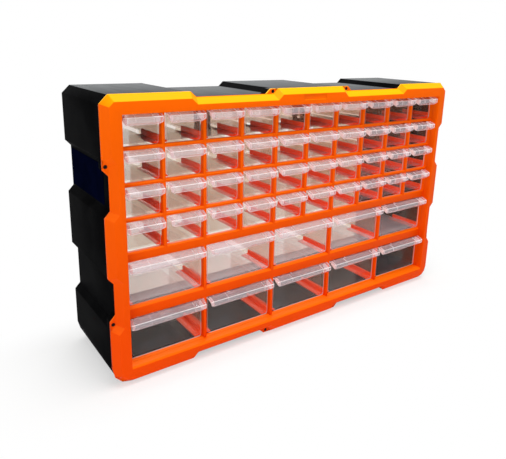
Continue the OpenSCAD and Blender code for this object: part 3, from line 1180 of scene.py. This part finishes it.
@dataclass
class FrameScrews:
    """The frame's screws: plain heads with the outline of a cross, down in their counterbores."""

    head_r: float = 2.3
    head_flat: float = 0.05
    cross_r: float = 1.2
    cross_w: float = 0.5
    foot_share: float = 0.7
    foot_deep: float = 0.35
    crest_proud: float = 0.02
    skirt_share: float = 1.5
    skirt_deep: float = 0.01
    crease: float = 30.0

    def build(self, steel: Material) -> None:
        """Builds the screws where the CAD screws are.

        Args:
            steel: their finish.
        """
        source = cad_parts["frame_screws"].data
        bm = bmesh.new()
        bm.from_mesh(source)
        for middle in self.middles(source):
            self.cross(bm, middle)
        mesh = to_mesh("frame_screws_turned", bm)
        smooth(mesh, self.crease)
        dress("frame_screws_turned", mesh, steel, "cabinet", ["frame_screws"], "screw_steel")

    def middles(self, source: Mesh) -> list[Vector]:
        """Finds the heads.

        Args:
            source: the CAD screws' mesh.

        Returns:
            The middle of each head's front, in metres.
        """
        front = min(v.co.y for v in source.vertices)
        heads: list[list[Vector]] = []
        for co in (v.co for v in source.vertices if v.co.y < front + self.head_flat * MM):
            for head in heads:
                # Corners of one head are at most two radii apart, and the heads are far from each other.
                if (head[0] - co).length < 3 * self.head_r * MM:
                    head.append(co)
                    break
            else:
                heads.append([co])
        averages = [sum(head, Vector()) / len(head) for head in heads]
        return [Vector((at.x, front, at.z)) for at in averages]

    def cross(self, bm: Solid, at: Vector) -> None:
        """Lays the outline of a cross on a head: a thin raised edge whose inner walls run on into the head.

        Args:
            bm: the mesh that takes it.
            at: the middle of the head's front, in metres.
        """
        r, w = self.cross_r, self.cross_w / 2
        outline = [
            (r, -w), (r, w), (w, w), (w, r), (-w, r), (-w, w),
            (-r, w), (-r, -w), (-w, -w), (-w, -r), (w, -r), (w, -w),
        ]
        n = len(outline)
        foot, crest, skirt = (
            [bm.verts.new(at + Vector((x * share, deep, z * share)) * MM) for x, z in outline]
            for share, deep in (
                (self.foot_share, self.foot_deep), (1.0, -self.crest_proud), (self.skirt_share, self.skirt_deep)
            )
        )
        bm.faces.new(foot)
        for i in range(n):
            j = (i + 1) % n
            bm.faces.new((foot[i], foot[j], crest[j], crest[i]))
            bm.faces.new((crest[i], crest[j], skirt[j], skirt[i]))


@dataclass
class SideLabel:
    """The blank label in the left side's upper notch, with rounded corners."""

    corner_r: float = 3.0
    edge: float = 0.12

    def build(self, film: Material) -> None:
        """Builds the label over its CAD plate.

        Args:
            film: its finish.
        """
        low, high = (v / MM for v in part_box("side_label"))
        middle, r = (low + high) / 2, self.corner_r
        outline: list[Point] = []
        for y, z, start in (
            (high.y, low.z, -90), (high.y, high.z, 0), (low.y, high.z, 90), (low.y, low.z, 180)
        ):
            centre = (y - math.copysign(r, y - middle.y), z - math.copysign(r, z - middle.z))
            outline += arc(centre, r, start, start + 90, CORNER_STEPS)
        mesh = to_mesh("side_label_film", prism(outline, View.SIDE, low.x, high.x, self.edge))
        smooth(mesh)
        dress("side_label_film", mesh, film, "cabinet", ["side_label"], "label_film")


# ---------------------------------------------------------------- studio


class SoftBox(NamedTuple):
    """A rectangular lamp: its place and its width and height in metres, and its power in watts."""

    name: str
    at: Triple
    size: Point
    power: float


@dataclass
class Studio:
    """A pale floor, soft lamps and the camera. Lengths in metres."""

    floor_colour: str = "#f4f3f1"
    floor_half: float = 6.0
    floor_drop: float = 0.0002
    footprint: Triple = (0.3, 0.06, 0.0)
    melt_stretch: Triple = (1.0, 2.6, 1.0)
    melt_where: Point = (-0.22, 0.24)
    surround: float = 0.46
    lit_at: Triple = (0.0, 0.0, 0.2)
    lamps: tuple[SoftBox, ...] = (
        SoftBox("overhead_box", (0.1, -0.35, 1.5), (0.8, 0.6), 12.0),
        SoftBox("back_box", (0.3, 1.3, 1.25), (1.6, 0.8), 14.0),
        SoftBox("front_box", (-1.95, -1.55, 0.9), (1.8, 1.4), 20.0),
    )
    camera_at: Triple = (-0.52416, -0.66461, 0.44414)
    camera_turn: Triple = (75.1937, -1.4988, -35.821)
    lens: float = 37.348
    sensor: float = 36.0
    shift: Point = (-0.01636, -0.09392)
    clip: Point = (0.01, 50.0)

    @staticmethod
    def seen(tree: Tree) -> Socket:
        """Tells where the white surround shows.

        Args:
            tree: the node tree.

        Returns:
            1 for what the camera sees, straight, through clear plastic or mirrored, and 0 for what lights
            the scene.
        """
        path = add_node(tree, "ShaderNodeLightPath")
        seen = path.outputs["Is Camera Ray"]
        for way in ("Is Transmission Ray", "Is Glossy Ray"):
            seen = add_node(
                tree, "ShaderNodeMath", {0: seen, 1: path.outputs[way]}, operation="MAXIMUM"
            ).outputs[0]
        return seen

    def floor(self) -> None:
        """Lays the floor. It shows the shadow near the cabinet and melts into the white surround further out."""
        material, tree = new_material("studio_floor")
        shader = add_node(
            tree, "ShaderNodeBsdfPrincipled",
            {"Base Color": linear(self.floor_colour), "Roughness": 0.9, "Specular IOR Level": 0.1},
        )
        place = add_node(tree, "ShaderNodeTexCoord").outputs["Object"]
        # How far a spot lies outside the cabinet's footprint, to the sides and to the front and back.
        far = add_node(tree, "ShaderNodeVectorMath", {0: place}, operation="ABSOLUTE").outputs[0]
        for operation, by in (
            ("SUBTRACT", self.footprint), ("MAXIMUM", (0.0, 0.0, 0.0)), ("MULTIPLY", self.melt_stretch)
        ):
            far = add_node(tree, "ShaderNodeVectorMath", {0: far, 1: by}, operation=operation).outputs[0]
        distance = add_node(tree, "ShaderNodeVectorMath", {0: far}, operation="LENGTH").outputs["Value"]
        fade = add_node(
            tree, "ShaderNodeMapRange",
            {"Value": distance, "From Min": self.melt_where[0], "From Max": self.melt_where[1]},
            interpolation_type="SMOOTHSTEP",
        )
        melt = add_node(tree, "ShaderNodeMath", {0: fade.outputs[0], 1: self.seen(tree)}, operation="MULTIPLY")
        white = add_node(tree, "ShaderNodeEmission", {"Color": WHITE, "Strength": 1.0})
        mixed = add_node(
            tree, "ShaderNodeMixShader", {0: melt.outputs[0], 1: shader.outputs[0], 2: white.outputs[0]}
        )
        add_node(tree, "ShaderNodeOutputMaterial", {"Surface": mixed.outputs[0]})
        bm = bmesh.new()
        bmesh.ops.create_grid(bm, x_segments=1, y_segments=1, size=self.floor_half)
        obj = piece("studio_floor", to_mesh("studio_floor", bm))
        obj.location.z = -self.floor_drop
        obj.data.materials.append(material)

    def world(self) -> None:
        """A white surround that the camera and the clear plastic see, and a softer one that lights."""
        world = bpy.data.worlds.new("studio_world")
        bpy.context.scene.world = world
        world.use_nodes = True
        tree = world.node_tree
        tree.nodes.clear()
        strength = add_node(
            tree, "ShaderNodeMapRange", {"Value": self.seen(tree), "To Min": self.surround, "To Max": 1.0}
        )
        light = add_node(tree, "ShaderNodeBackground", {"Color": WHITE, "Strength": strength.outputs[0]})
        out = add_node(tree, "ShaderNodeOutputWorld", {0: light.outputs[0]})
        out.is_active_output = True

    def lamp(self, box: SoftBox) -> None:
        """Hangs one soft box and turns it to the cabinet.

        Args:
            box: the lamp.
        """
        data = bpy.data.lights.new(box.name, "AREA")
        data.shape, data.energy = "RECTANGLE", box.power
        data.size, data.size_y = box.size
        obj = bpy.data.objects.new(box.name, data)
        obj.location = box.at
        obj.rotation_euler = (Vector(self.lit_at) - Vector(box.at)).to_track_quat("-Z", "Y").to_euler()
        bpy.context.scene.collection.objects.link(obj)

    def camera(self) -> None:
        """Sets up the camera."""
        data = bpy.data.cameras.new("studio_camera")
        data.sensor_fit, data.sensor_width, data.lens = "HORIZONTAL", self.sensor, self.lens
        data.shift_x, data.shift_y = self.shift
        data.clip_start, data.clip_end = self.clip
        obj = bpy.data.objects.new("studio_camera", data)
        obj.location = self.camera_at
        obj.rotation_euler = Euler([math.radians(a) for a in self.camera_turn], "XYZ")
        bpy.context.scene.collection.objects.link(obj)
        bpy.context.scene.camera = obj

    def build(self) -> None:
        """Sets up the whole studio. Light passes many clear walls, so it may pass and bounce often."""
        self.floor()
        self.world()
        for box in self.lamps:
            self.lamp(box)
        self.camera()
        scene = bpy.context.scene
        scene.view_settings.view_transform = "Standard"
        scene.cycles.max_bounces = 40
        scene.cycles.transmission_bounces = 40
        scene.cycles.transparent_max_bounces = 60
        scene.cycles.glossy_bounces = 8
        scene.cycles.diffuse_bounces = 5


# ---------------------------------------------------------------- the whole


def clear_plastics() -> dict[str, Material]:
    """Makes the clear plastic of each place on the drawers.

    Returns:
        The materials by name.
    """
    walls = ClearPolystyrene(
        "clear_walls", tint="#fdfcfb", milk="#f4efec", veil=0.001, edge_veil=0.4, mirror=0.002, mirror_power=6.0
    )
    # The sides' haze is painted with some of the runners' orange: painted light, as bounced off the runners.
    sides = replace(walls, name="clear_sides", tint="#fbf6f3", milk="#ffc4a2", veil=0.035)
    pulls = ClearPolystyrene(
        "clear_pulls", tint="#faf6f8", milk="#fff4fa", veil=0.17, edge_veil=0.6, shade="#f6f2f3", mirror=0.05
    )
    # The pull's nose bend, ends and lower edge are near white: partly the paleness of bent clear plastic, partly a
    # painted highlight along the nose.
    pull_edges = ClearPolystyrene(
        "clear_pull_edges", tint="#faf4f4", milk="#fff8f8", veil=0.8, edge_veil=0.9
    )
    rims = replace(pull_edges, name="clear_rims", milk="#fff4f0", veil=0.42, edge_veil=0.7)
    small_backs = ClearPolystyrene(
        "clear_small_backs", tint="#f3ede5", milk="#efecf4", veil=0.035, edge_veil=0.5, mirror_power=4.6
    )
    large_backs = replace(small_backs, name="clear_large_backs", tint="#f8f5f1")
    # Lit and shaded copies: the floors of the upper large drawers are drawn hazier, as painted light from behind;
    # those of the lowest row stay clear and dark.
    scuffed = replace(large_backs, name="clear_lit_floors", milk="#f2ecf2", veil=0.27)
    shaded_floors = replace(
        large_backs, name="clear_shaded_floors", veil=0.012, edge_veil=0.4, mirror=0.004, mirror_power=5.6
    )
    plastics = (walls, sides, pulls, pull_edges, rims, small_backs, large_backs, scuffed, shaded_floors)
    return {plastic.name: plastic.make() for plastic in plastics}


def main() -> None:
    """Builds every piece in order."""
    logging.basicConfig(level=logging.INFO, format="%(name)s: %(message)s")
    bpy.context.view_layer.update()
    Studio().build()
    # The orange is painted paler towards the top and takes a painted highlight on up-facing faces; the runners'
    # colours barely differ.
    orange = MouldedPolypropylene(
        "orange_polypropylene", high="#f86400", low="#f04a00", painted_highlight_high="#ffba00", painted_highlight_low="#ff6e06"
    ).make()
    rail = MouldedPolypropylene(
        "runner_polypropylene", high="#ff440e", low="#ff4a10", painted_highlight_high="#ff4c12", painted_highlight_low="#ff5014"
    ).make()
    # The black's grey is both faint random scuffs and a painted sheen on the housing's top.
    black = SparkTexturedPolystyrene("black_polystyrene", body="#070708", sheen_and_scuff_grey="#727475").make()
    clear = clear_plastics()
    Mouldings().build(orange, rail, black)
    FrameScrews().build(BlackenedSteel("blackened_steel", body="#1b1b1d").make())
    # The label's second colour is a painted sheen on the ripple.
    SideLabel().build(LabelFilm("label_film", body="#02040f", sheen="#050820").make())
    shared = {
        Zone.FRONT: clear["clear_walls"],
        Zone.PULL: clear["clear_pulls"],
        Zone.PULL_EDGE: clear["clear_pull_edges"],
        Zone.RIM: clear["clear_rims"],
        Zone.SIDE: clear["clear_sides"],
    }
    small_back, large_back = clear["clear_small_backs"], clear["clear_large_backs"]
    large_floors = [clear["clear_lit_floors"], clear["clear_shaded_floors"]]
    ClearDrawer(DrawerKind.SMALL).place({**shared, Zone.BACK: small_back}, [small_back] * 4)
    ClearDrawer(DrawerKind.LARGE, front_gap=2.9).place({**shared, Zone.BACK: large_back}, large_floors)


if __name__ == "__main__":
    main()
